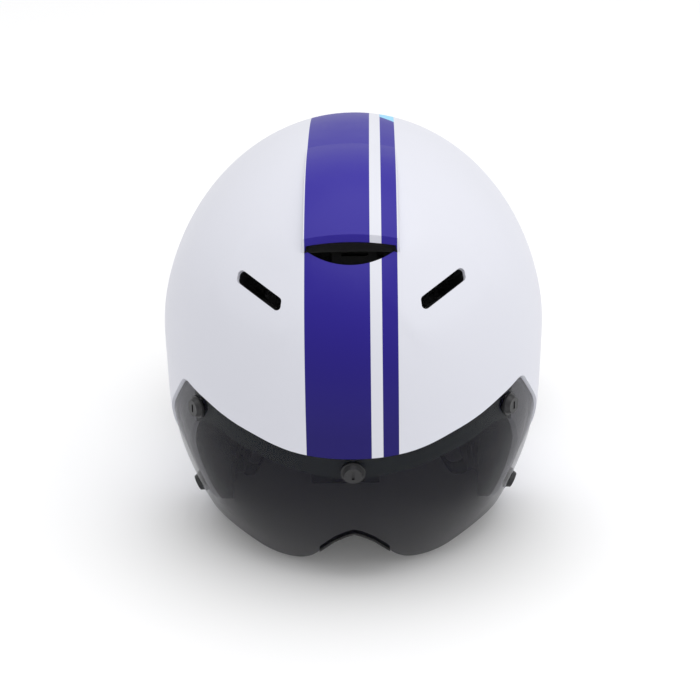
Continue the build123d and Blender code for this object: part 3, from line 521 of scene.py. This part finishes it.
class ShellSettings(bpy.types.PropertyGroup):
    """The shell's colours and where they meet"""

    white: bpy.props.FloatVectorProperty(
        name="White", description="The shell's paint", subtype="COLOR", default=linear(217, 218, 226)
    )
    white_shade: bpy.props.FloatVectorProperty(
        name="White shade", description="Its cloudy variation", subtype="COLOR", default=linear(213, 214, 223)
    )
    stripe: bpy.props.FloatVectorProperty(
        name="Stripe", description="The stripe on the crown", subtype="COLOR", default=linear(43, 28, 152)
    )
    # Painted shade: the stripe's darker colour low down near the lens, and the heights over which it fades
    # into the stripe's own colour
    stripe_painted_shade: bpy.props.FloatVectorProperty(
        name="Stripe low", description="The stripe near the lens", subtype="COLOR", default=linear(20, 6, 100)
    )
    fade_low: bpy.props.FloatProperty(
        name="Fade start", description="The height up to which the stripe is dark", unit="LENGTH", default=0.09
    )
    fade_high: bpy.props.FloatProperty(
        name="Fade end", description="The height where it is at its lightest", unit="LENGTH", default=0.2
    )
    patch: bpy.props.FloatVectorProperty(
        name="Patch", description="The pale blue part behind", subtype="COLOR", default=linear(140, 208, 240)
    )
    stripe_half: bpy.props.FloatProperty(
        name="Stripe half width", description="Half the stripe's width", unit="LENGTH", default=0.0235
    )
    line_low: bpy.props.FloatProperty(
        name="Line start", description="Where the white line starts", unit="LENGTH", default=0.0096
    )
    line_high: bpy.props.FloatProperty(
        name="Line end", description="Where the white line ends", unit="LENGTH", default=0.0155
    )
    patch_start: bpy.props.FloatProperty(
        name="Patch start", description="Where the pale blue starts, at the middle", unit="LENGTH",
        default=0.088,
    )
    patch_slant: bpy.props.FloatProperty(
        name="Patch slant", description="How its border slants over the width", default=1.6
    )
    edge_softness: bpy.props.FloatProperty(
        name="Edge softness", description="Half the width of a colour's edge", unit="LENGTH",
        default=0.00008,
    )


class LensSettings(bpy.types.PropertyGroup):
    """The lens's tint"""

    tint: bpy.props.FloatVectorProperty(
        name="Tint", description="The lens's colour", subtype="COLOR", default=linear(17, 17, 30)
    )
    tint_low: bpy.props.FloatVectorProperty(
        name="Tint variation", description="Where the tint is denser", subtype="COLOR",
        default=linear(12, 12, 23),
    )
    opacity: bpy.props.FloatProperty(
        name="Opacity", description="What each of its two faces holds back", subtype="FACTOR", default=0.46
    )


class PadSettings(bpy.types.PropertyGroup):
    """How the pads are stuffed"""

    voxel: bpy.props.FloatProperty(
        name="Mesh size", description="Spacing of the mesh before the simulation", unit="LENGTH",
        default=0.0011,
    )
    pressure: bpy.props.FloatProperty(
        name="Pressure", description="What fills the pads in the simulation", default=4.0
    )
    frames: bpy.props.IntProperty(name="Frames", description="Length of the simulation", default=20)
    reach: bpy.props.FloatProperty(
        name="Reach", description="The most that a point may move", unit="LENGTH", default=0.0016
    )
    inset: bpy.props.FloatProperty(
        name="Inset", description="How much smaller a pad starts", unit="LENGTH", default=0.0009
    )


class WebbingSettings(bpy.types.PropertyGroup):
    """The webbing and its seams"""

    width: bpy.props.FloatProperty(
        name="Width", description="The webbing's width", unit="LENGTH", default=0.014
    )
    thickness: bpy.props.FloatProperty(
        name="Thickness", description="The webbing's thickness", unit="LENGTH", default=0.0012
    )
    bend: bpy.props.FloatProperty(
        name="Bend", description="The radius at a turn of the webbing", unit="LENGTH", default=0.006
    )
    stitch: bpy.props.FloatProperty(
        name="Stitch", description="The pitch of the stitches", unit="LENGTH", default=0.0021
    )
    thread: bpy.props.FloatProperty(
        name="Thread", description="The radius of the thread", unit="LENGTH", default=0.0003
    )
    seam_inset: bpy.props.FloatProperty(
        name="Seam inset", description="From the webbing's edge to the seam", unit="LENGTH", default=0.0022
    )
    seam_length: bpy.props.FloatProperty(
        name="Seam length", description="The seam's length along the strap", unit="LENGTH", default=0.008
    )


class StageSettings(bpy.types.PropertyGroup):
    """The camera and the sky"""

    elevation: bpy.props.FloatProperty(
        name="Elevation", description="The camera's height angle", subtype="ANGLE", default=radians(25)
    )
    azimuth: bpy.props.FloatProperty(
        name="Azimuth", description="The camera's turn about the helmet", subtype="ANGLE",
        default=radians(0.75),
    )
    roll: bpy.props.FloatProperty(
        name="Roll", description="The camera's turn about its own axis", subtype="ANGLE",
        default=radians(-0.9),
    )
    distance: bpy.props.FloatProperty(
        name="Distance", description="From the camera to its target", unit="LENGTH", default=1.25
    )
    focal_length: bpy.props.FloatProperty(
        name="Focal length", description="The camera's lens", unit="CAMERA", default=116.42
    )
    target: bpy.props.FloatVectorProperty(
        name="Target", description="What the camera looks at", subtype="XYZ",
        default=(-0.00215, -0.026, 0.0855),
    )
    sky: bpy.props.FloatProperty(name="Sky", description="The world's brightness", default=0.76)


class HELMET_OT_shell(bpy.types.Operator):
    """Paint the outer shell"""

    bl_idname = "helmet.shell"
    bl_label = "Shell"

    def execute(self, context):
        dress(["outer_shell"], shell_paint(context.scene.helmet_shell))
        return {"FINISHED"}


class HELMET_OT_lens(bpy.types.Operator):
    """Tint the lens and finish what it carries and lies on"""

    bl_idname = "helmet.lens"
    bl_label = "Lens"

    def execute(self, context):
        dress(["visor_lens"], smoke_lens(context.scene.helmet_lens))
        dress(["visor_knobs"], moulded_plastic("knob_plastic", linear(22, 22, 24), (0.34, 0.5), 1500))
        dress(["brow_band"], moulded_plastic("band_plastic", linear(58, 68, 63), (0.5, 0.62), 2600))
        dress(["nose_strip"], soft_rubber())
        return {"FINISHED"}


class HELMET_OT_liner(bpy.types.Operator):
    """Finish the foam liner, its edging and its air ducts"""

    bl_idname = "helmet.liner"
    bl_label = "Liner"

    def execute(self, context):
        dress(["foam_liner"], bead_foam())
        dress(["rim_wrap"], moulded_plastic("edging_plastic", linear(24, 24, 26), (0.45, 0.62), 800))
        ducts = ["vent_duct_left", "vent_duct_right", "intake_duct", "exhaust_grille"]
        dress(ducts, moulded_plastic("duct_plastic", linear(14, 14, 15), (0.5, 0.66), 700))
        return {"FINISHED"}


def shrunk_copy(name, inset):
    """A merged copy of a pad's solid, drawn in along its normals."""
    mesh = nodes[name].data.copy()
    shape = bmesh.new()
    shape.from_mesh(mesh)
    bmesh.ops.remove_doubles(shape, verts=shape.verts, dist=1e-6)
    bmesh.ops.recalc_face_normals(shape, faces=shape.faces)
    shape.normal_update()
    for vertex in shape.verts:
        vertex.co -= vertex.normal * inset * min(vertex.calc_shell_factor(), MOST_INSETS)
    shape.to_mesh(mesh)
    shape.free()
    return mesh


def voxel_mesh(mesh, voxel):
    """The mesh rebuilt from even voxels."""
    piece = bpy.data.objects.new("voxels", mesh)
    bpy.context.scene.collection.objects.link(piece)
    remesh = piece.modifiers.new("Voxels", "REMESH")
    remesh.mode = "VOXEL"
    remesh.voxel_size = voxel
    remesh.use_smooth_shade = True
    return applied(piece)


def swell(mesh, settings):
    """Blow the pads up like stuffed cushions and keep each point within its reach."""
    piece = bpy.data.objects.new("pads_in_simulation", mesh)
    scene = bpy.context.scene
    scene.collection.objects.link(piece)
    start = places(mesh)
    cloth = piece.modifiers.new("Cloth", "CLOTH")
    cloth.settings.quality = 4
    cloth.settings.mass = 0.2
    cloth.settings.tension_stiffness = 8
    cloth.settings.compression_stiffness = 8
    cloth.settings.bending_stiffness = 0.3
    cloth.settings.use_pressure = True
    cloth.settings.uniform_pressure_force = settings.pressure
    cloth.settings.effector_weights.gravity = 0
    cloth.collision_settings.use_collision = False
    cloth.point_cache.frame_start = 1
    cloth.point_cache.frame_end = settings.frames
    for number in range(1, settings.frames + 1):
        scene.frame_set(number)
    result = evaluated(piece)
    scene.frame_set(1)
    bpy.data.objects.remove(piece)
    move = places(result) - start
    length = np.linalg.norm(move, axis=1, keepdims=True)
    capped = start + move * np.minimum(1, settings.reach / np.maximum(length, 1e-9))
    result.vertices.foreach_set("co", capped.ravel())
    result.update()
    return result


class HELMET_OT_pads(bpy.types.Operator):
    """Make the stuffed comfort pads by cloth simulation"""

    bl_idname = "helmet.pads"
    bl_label = "Pads"

    def execute(self, context):
        settings = context.scene.helmet_pads
        material = knitted_cover()
        counts = {}
        shape = bmesh.new()
        for name in PADS:
            mesh = voxel_mesh(shrunk_copy(name, settings.inset), settings.voxel)
            counts[name] = len(mesh.vertices)
            shape.from_mesh(mesh)
        together = bpy.data.meshes.new("pads_together")
        shape.to_mesh(together)
        shape.free()
        together = swell(together, settings)
        start = 0
        for name, count in counts.items():
            self.cover(name, self.part_of(together, start, start + count), material)
            start += count
        if start != len(together.vertices):
            raise RuntimeError("the pads' points don't add up")
        return {"FINISHED"}

    @staticmethod
    def cover(name, mesh, material):
        """Smooth a pad's mesh and put it in its solid's place."""
        body = BODY_OF[name]
        piece = link(name + "_cover", mesh, material, None)
        piece.modifiers.new("Smooth", "SUBSURF").levels = 1
        smooth = evaluated(piece)
        piece.modifiers.clear()
        piece.data = smooth
        smooth.materials.clear()
        smooth.materials.append(material)
        smooth.shade_smooth()
        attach(piece, body)
        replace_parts(piece, name)

    @staticmethod
    def part_of(together, start, end):
        """The faces between two point numbers, as a mesh of their own."""
        points = places(together)[start:end]
        faces = [
            [v - start for v in face.vertices]
            for face in together.polygons
            if start <= face.vertices[0] < end
        ]
        mesh = bpy.data.meshes.new("pad")
        mesh.from_pydata(points.tolist(), [], faces)
        return mesh


class Tree:
    """A geometry node tree under construction, with named inputs."""

    def __init__(self, name, inputs):
        self.tree = bpy.data.node_groups.new(name, "GeometryNodeTree")
        face = self.tree.interface
        face.new_socket("Geometry", in_out="INPUT", socket_type="NodeSocketGeometry")
        for label, kind in inputs.items():
            face.new_socket(label, in_out="INPUT", socket_type="NodeSocket" + kind)
        face.new_socket("Geometry", in_out="OUTPUT", socket_type="NodeSocketGeometry")
        self.given = self.tree.nodes.new("NodeGroupInput").outputs
        self.result = self.tree.nodes.new("NodeGroupOutput").inputs[0]

    def node(self, kind, sockets=None, **settings):
        """Add a node."""
        return add_node(self.tree, kind, sockets, settings)

    def kept(self, geometry, label, value):
        """Geometry that keeps a value of its points under a label, and the value as kept."""
        node = self.node("GeometryNodeCaptureAttribute", {"Geometry": geometry}, domain="POINT")
        node.capture_items.new("FLOAT", label)
        self.tree.links.new(value, node.inputs[label])
        return node.outputs[0], node.outputs[label]

    def finish(self, geometry):
        """Realize the instances, set the material and end the tree."""
        real = self.node("GeometryNodeRealizeInstances", {0: geometry}).outputs[0]
        sockets = {"Geometry": real, "Material": self.given["Material"]}
        self.tree.links.new(self.node("GeometryNodeSetMaterial", sockets).outputs[0], self.result)
        return self.tree


def run_tree(tree, curve, values):
    """The plain mesh that a tree makes from a curve, with its inputs set by identifier."""
    piece = bpy.data.objects.new("tree_carrier", curve)
    bpy.context.scene.collection.objects.link(piece)
    modifier = piece.modifiers.new("Nodes", "NODES")
    modifier.node_group = tree
    for item in tree.interface.items_tree:
        if item.in_out == "INPUT" and item.name in values:
            modifier[item.identifier] = values[item.name]
    return applied(piece)


def line_through(points, cyclic=False):
    """A curve of straight runs through points."""
    curve = bpy.data.curves.new("route", "CURVE")
    curve.dimensions = "3D"
    spline = curve.splines.new("POLY")
    spline.points.add(len(points) - 1)
    for target, point in zip(spline.points, points):
        target.co = (*point, 1)
    spline.use_cyclic_u = cyclic
    return curve


def webbing_tree():
    """A flat woven strip along a route, with its lengths stored for the weave."""
    inputs = {
        "Width": "Float", "Thickness": "Float", "Bend": "Float", "Face": "Vector", "Material": "Material",
    }
    build = Tree("webbing", inputs)
    given = build.given

    # The route: rounded at its corners, in even steps, and facing one way
    sockets = {"Curve": given["Geometry"], "Radius": given["Bend"], "Limit Radius": True, "Count": 8}
    bent = build.node("GeometryNodeFilletCurve", sockets, mode="POLY").outputs[0]
    sockets = {"Curve": bent, "Length": 0.0012}
    even = build.node("GeometryNodeResampleCurve", sockets, mode="LENGTH").outputs[0]
    sockets = {"Curve": even, "Normal": given["Face"]}
    flat = build.node("GeometryNodeSetCurveNormal", sockets, mode="FREE").outputs[0]
    run = build.node("GeometryNodeSplineParameter").outputs["Length"]
    route, along = build.kept(flat, "Along", run)

    # The section: a rectangle with soft corners
    sockets = {"Width": given["Width"], "Height": given["Thickness"]}
    section = build.node("GeometryNodeCurvePrimitiveQuadrilateral", sockets).outputs[0]
    corner = build.node("ShaderNodeMath", {0: given["Thickness"], 1: 0.42}, operation="MULTIPLY").outputs[0]
    sockets = {"Curve": section, "Radius": corner, "Count": 4}
    soft = build.node("GeometryNodeFilletCurve", sockets, mode="POLY").outputs[0]
    place = build.node("GeometryNodeInputPosition").outputs[0]
    side = build.node("ShaderNodeSeparateXYZ", {0: place}).outputs[0]
    profile, across = build.kept(soft, "Across", side)

    sockets = {"Curve": route, "Profile Curve": profile, "Fill Caps": True}
    strip = build.node("GeometryNodeCurveToMesh", sockets).outputs[0]
    lengths = build.node("ShaderNodeCombineXYZ", {0: along, 1: across}).outputs[0]
    sockets = {"Geometry": strip, "Name": "weave", "Value": lengths}
    store = "GeometryNodeStoreNamedAttribute"
    return build.finish(build.node(store, sockets, data_type="FLOAT_VECTOR", domain="POINT").outputs[0])


def stitch_tree():
    """Stitches laid one behind the other along a seam."""
    build = Tree("stitches", {"Pitch": "Float", "Radius": "Float", "Material": "Material"})
    given = build.given
    sockets = {"Curve": given["Geometry"], "Length": given["Pitch"]}
    spots = build.node("GeometryNodeCurveToPoints", sockets, mode="LENGTH").outputs
    sockets = {"Radius": given["Radius"], "Subdivisions": 2}
    thread = build.node("GeometryNodeMeshIcoSphere", sockets).outputs["Mesh"]
    half = build.node("ShaderNodeMath", {0: given["Pitch"], 1: 0.36}, operation="MULTIPLY").outputs[0]
    share = build.node("ShaderNodeMath", {0: half, 1: given["Radius"]}, operation="DIVIDE").outputs[0]
    size = build.node("ShaderNodeCombineXYZ", {0: 1.0, 1: 1.0, 2: share}).outputs[0]
    sockets = {"Points": spots["Points"], "Instance": thread, "Rotation": spots["Rotation"], "Scale": size}
    return build.finish(build.node("GeometryNodeInstanceOnPoints", sockets).outputs[0])


def mirrored(mesh):
    """The mesh's mirror image, with its faces still outwards."""
    copy = mesh.copy()
    copy.transform(MIRROR_X)
    copy.flip_normals()
    return copy


def on_web(right, up, out=0.0):
    """A point of the left side's webbing plane."""
    return DIVIDER + ALONG * right + UPWARD * up + OUTWARD * out


def web_place(point):
    """A point's place in the webbing plane."""
    offset = point - DIVIDER
    return Vector((offset.dot(ALONG), offset.dot(UPWARD)))


class Loom:
    """What straps and seams are made with."""

    def __init__(self, settings):
        self.settings = settings
        self.webbing, self.thread = woven_webbing(), stitch_thread()
        self.strip, self.stitches = webbing_tree(), stitch_tree()

    def strap(self, corners, face):
        """Webbing through the corners of a route, with its flat side facing a way."""
        values = {
            "Width": self.settings.width, "Thickness": self.settings.thickness, "Bend": self.settings.bend,
            "Face": face, "Material": self.webbing,
        }
        return run_tree(self.strip, line_through(corners), values)

    def seam_corners(self, start):
        """The corners of a seam as distances along and across the strap."""
        half = self.settings.width / 2 - self.settings.seam_inset
        end = start + self.settings.seam_length
        return (start, -half), (start, half), (end, half), (end, -half)

    def seam(self, corners):
        """Stitches round a closed line through corners."""
        values = {"Pitch": self.settings.stitch, "Radius": self.settings.thread, "Material": self.thread}
        return run_tree(self.stitches, line_through(corners, cyclic=True), values)


class HELMET_OT_webbing(bpy.types.Operator):
    """Weave the side straps and the chin strap, with their stitched ends"""

    bl_idname = "helmet.webbing"
    bl_label = "Webbing"

    def execute(self, context):
        loom = Loom(context.scene.helmet_webbing)
        self.side_straps(loom)
        self.chin_straps(loom)
        return {"FINISHED"}

    def side_straps(self, loom):
        """The front and rear strap of each side, which meet in the divider."""
        lift = loom.settings.thickness / 2
        for name, anchor, hand in (("front_strap", FRONT_ANCHOR, -1), ("rear_strap", REAR_ANCHOR, 1)):
            entry = Vector((hand * ENTRY_BESIDE, ENTRY_ABOVE))
            place = web_place(anchor)
            way = (place - entry).normalized()
            start = place + way * ANCHOR_DEPTH
            across = Vector((-way.y, way.x))
            strap = loom.strap([on_web(*start), on_web(*entry)], OUTWARD)
            self.both(name, strap, loom.webbing, True)
            corners = loom.seam_corners(SIDE_SEAM_START)
            spots = [start - way * run + across * side for run, side in corners]
            seam = loom.seam([on_web(spot.x, spot.y, -lift) for spot in spots])
            self.both(name + "_stitches", seam, loom.thread, False)

    def chin_straps(self, loom):
        """The two halves of the chin strap, over a loose hump and into the buckle."""
        lift = Vector((0, 0, loom.settings.thickness / 2))
        for hand, end_x in CHIN_ENDS.items():
            node = "chin_strap_" + hand
            route = self.chin_route(end_x)
            tail = route[-1]
            back = (route[-2] - tail).normalized()
            corners = loom.seam_corners(CHIN_SEAM_START)
            mesh = loom.strap(route, ALONG)
            sewn = loom.seam([tail + back * run + ALONG * side + lift for run, side in corners])
            if hand == "right":
                mesh, sewn = mirrored(mesh), mirrored(sewn)
            body = None if hand == "left" else "helmet"
            pieces = {"webbing": (mesh, loom.webbing), "stitches": (sewn, loom.thread)}
            for ending, (shape, material) in pieces.items():
                piece = link(f"{node}_{ending}", shape, material, body)
                if hand == "left":
                    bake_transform(piece)
                if ending == "webbing":
                    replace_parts(piece, node)

    @staticmethod
    def chin_route(end_x):
        """The corners of the chin strap's route on the left side, down to its end in the buckle."""
        inward = (DIVIDER.x - end_x) / OUTWARD.x
        run = inward - BUCKLE_RUN
        corners = [(share * run, height) for share, height in CHIN_CORNERS]
        corners.append((inward, CHIN_CORNERS[-1][1]))
        route = []
        for reach, height in corners:
            up = (height - DIVIDER.z + reach * OUTWARD.z) / UPWARD.z
            route.append(DIVIDER - OUTWARD * reach + UPWARD * up)
        return route

    @staticmethod
    def both(name, mesh, material, replacing):
        """A piece of webbing on both sides, in the solids' place or beside them."""
        for hand, shape in (("left", mesh), ("right", mirrored(mesh))):
            node = f"{name}_{hand}"
            piece = link(node + "_webbing" if replacing else node, shape, material, "helmet")
            if replacing:
                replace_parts(piece, node)


class HELMET_OT_cradle(bpy.types.Operator):
    """Finish the height rail, the cradle and its dial"""

    bl_idname = "helmet.cradle"
    bl_label = "Cradle"

    def execute(self, context):
        carriers = ["height_rail", "cradle_yoke", "dial_housing"]
        dress(carriers, moulded_plastic("cradle_plastic", linear(26, 26, 28), (0.42, 0.58), 1100))
        arms = ["wing_left", "wing_right", "drive_pinion"]
        dress(arms, moulded_plastic("rack_plastic", linear(34, 34, 37), (0.36, 0.5), 1300))
        dress(["dial_knob"], moulded_plastic("dial_plastic", linear(18, 18, 20), (0.3, 0.44), 1500))
        dress(["dial_grip"], soft_rubber())
        screws = ["dial_screw", "dial_washer"]
        dress(screws, plated_metal("screw_steel", (0.45, 0.45, 0.46), (0.25, 0.42), 900))
        return {"FINISHED"}


class HELMET_OT_fittings(bpy.types.Operator):
    """Finish the anchors, dividers, buckle and magnets"""

    bl_idname = "helmet.fittings"
    bl_label = "Fittings"

    def execute(self, context):
        small = ["strap_anchors_left", "strap_anchors_right", "strap_divider_left", "strap_divider_right"]
        dress(small, moulded_plastic("fitting_plastic", linear(24, 24, 26), (0.4, 0.56), 1200))
        buckle = ["buckle_socket", "buckle_plug"]
        dress(buckle, moulded_plastic("buckle_plastic", linear(20, 20, 22), (0.32, 0.5), 1400))
        magnets = ["shell_magnets", "visor_magnets"]
        dress(magnets, plated_metal("magnet_nickel", (0.62, 0.6, 0.57), (0.14, 0.3), 1400))
        return {"FINISHED"}


def soft_box(name, place, target, width, power):
    """A square area light that looks at a target."""
    lamp = bpy.data.lights.new(name, "AREA")
    lamp.size = width
    lamp.energy = power
    holder = bpy.data.objects.new(name, lamp)
    bpy.context.scene.collection.objects.link(holder)
    holder.location = place
    holder.rotation_euler = (target - Vector(place)).to_track_quat("-Z", "Y").to_euler()


class HELMET_OT_stage(bpy.types.Operator):
    """Set the floor, the soft lights and the camera"""

    bl_idname = "helmet.stage"
    bl_label = "Stage"

    def execute(self, context):
        settings = context.scene.helmet_stage
        scene = context.scene
        target = Vector(settings.target)
        scene.view_settings.view_transform = "Standard"
        self.hang_sky(scene, settings.sky)
        self.lay_floor(scene)
        for name, (place, width, power) in LIGHTS.items():
            soft_box(name, place, target, width, power)
        self.aim_camera(scene, settings, target)
        return {"FINISHED"}

    @staticmethod
    def hang_sky(scene, strength):
        """White light from all round."""
        world = bpy.data.worlds.new("studio_world")
        scene.world = world
        world.use_nodes = True
        sky = world.node_tree.nodes["Background"].inputs
        sky["Color"].default_value = (1, 1, 1, 1)
        sky["Strength"].default_value = strength

    @staticmethod
    def lay_floor(scene):
        """A wide floor just under the feet."""
        reach = FLOOR_REACH
        corners = [(-reach, -reach, 0), (reach, -reach, 0), (reach, reach, 0), (-reach, reach, 0)]
        mesh = bpy.data.meshes.new("floor")
        mesh.from_pydata(corners, [], [(0, 1, 2, 3)])
        mesh.materials.append(studio_floor())
        floor = bpy.data.objects.new("floor", mesh)
        scene.collection.objects.link(floor)
        floor.location.z = -FLOOR_GAP

    @staticmethod
    def aim_camera(scene, settings, target):
        """The camera on its place round the target."""
        camera = bpy.data.objects.new("camera", bpy.data.cameras.new("camera"))
        scene.collection.objects.link(camera)
        level = cos(settings.elevation)
        side, front = sin(settings.azimuth) * level, cos(settings.azimuth) * level
        back = Vector((side, -front, sin(settings.elevation)))
        aim = back.to_track_quat("Z", "Y").to_matrix().to_4x4()
        turn = Matrix.Rotation(settings.roll, 4, "Z")
        camera.matrix_world = Matrix.Translation(target + back * settings.distance) @ aim @ turn
        camera.data.lens = settings.focal_length
        camera.data.sensor_width = 36
        scene.camera = camera


OPERATORS = (
    HELMET_OT_shell,
    HELMET_OT_lens,
    HELMET_OT_liner,
    HELMET_OT_pads,
    HELMET_OT_webbing,
    HELMET_OT_cradle,
    HELMET_OT_fittings,
    HELMET_OT_stage,
)
SETTINGS = {
    "helmet_shell": ShellSettings,
    "helmet_lens": LensSettings,
    "helmet_pads": PadSettings,
    "helmet_webbing": WebbingSettings,
    "helmet_stage": StageSettings,
}


class HELMET_PT_panel(bpy.types.Panel):
    """The helmet's pieces, in the order in which they are made"""

    bl_idname = "HELMET_PT_panel"
    bl_label = "Helmet"
    bl_space_type = "VIEW_3D"
    bl_region_type = "UI"
    bl_category = "Helmet"

    def draw(self, context):
        for operator in OPERATORS:
            self.layout.operator(operator.bl_idname)
        for name, group in SETTINGS.items():
            box = self.layout.box()
            for setting in group.__annotations__:
                box.prop(getattr(context.scene, name), setting)


def register():
    """Register the classes and hang the settings on the scene."""
    for group in (*SETTINGS.values(), *OPERATORS, HELMET_PT_panel):
        bpy.utils.register_class(group)
    for name, group in SETTINGS.items():
        setattr(bpy.types.Scene, name, bpy.props.PointerProperty(type=group))


def unregister():
    """Take the settings off the scene and unregister the classes."""
    for name in SETTINGS:
        delattr(bpy.types.Scene, name)
    for group in (HELMET_PT_panel, *reversed(OPERATORS), *SETTINGS.values()):
        bpy.utils.unregister_class(group)


def main():
    """Make the pieces in order."""
    register()
    for operator in OPERATORS:
        group, name = operator.bl_idname.split(".")
        getattr(getattr(bpy.ops, group), name)()


if __name__ == "__main__":
    main()
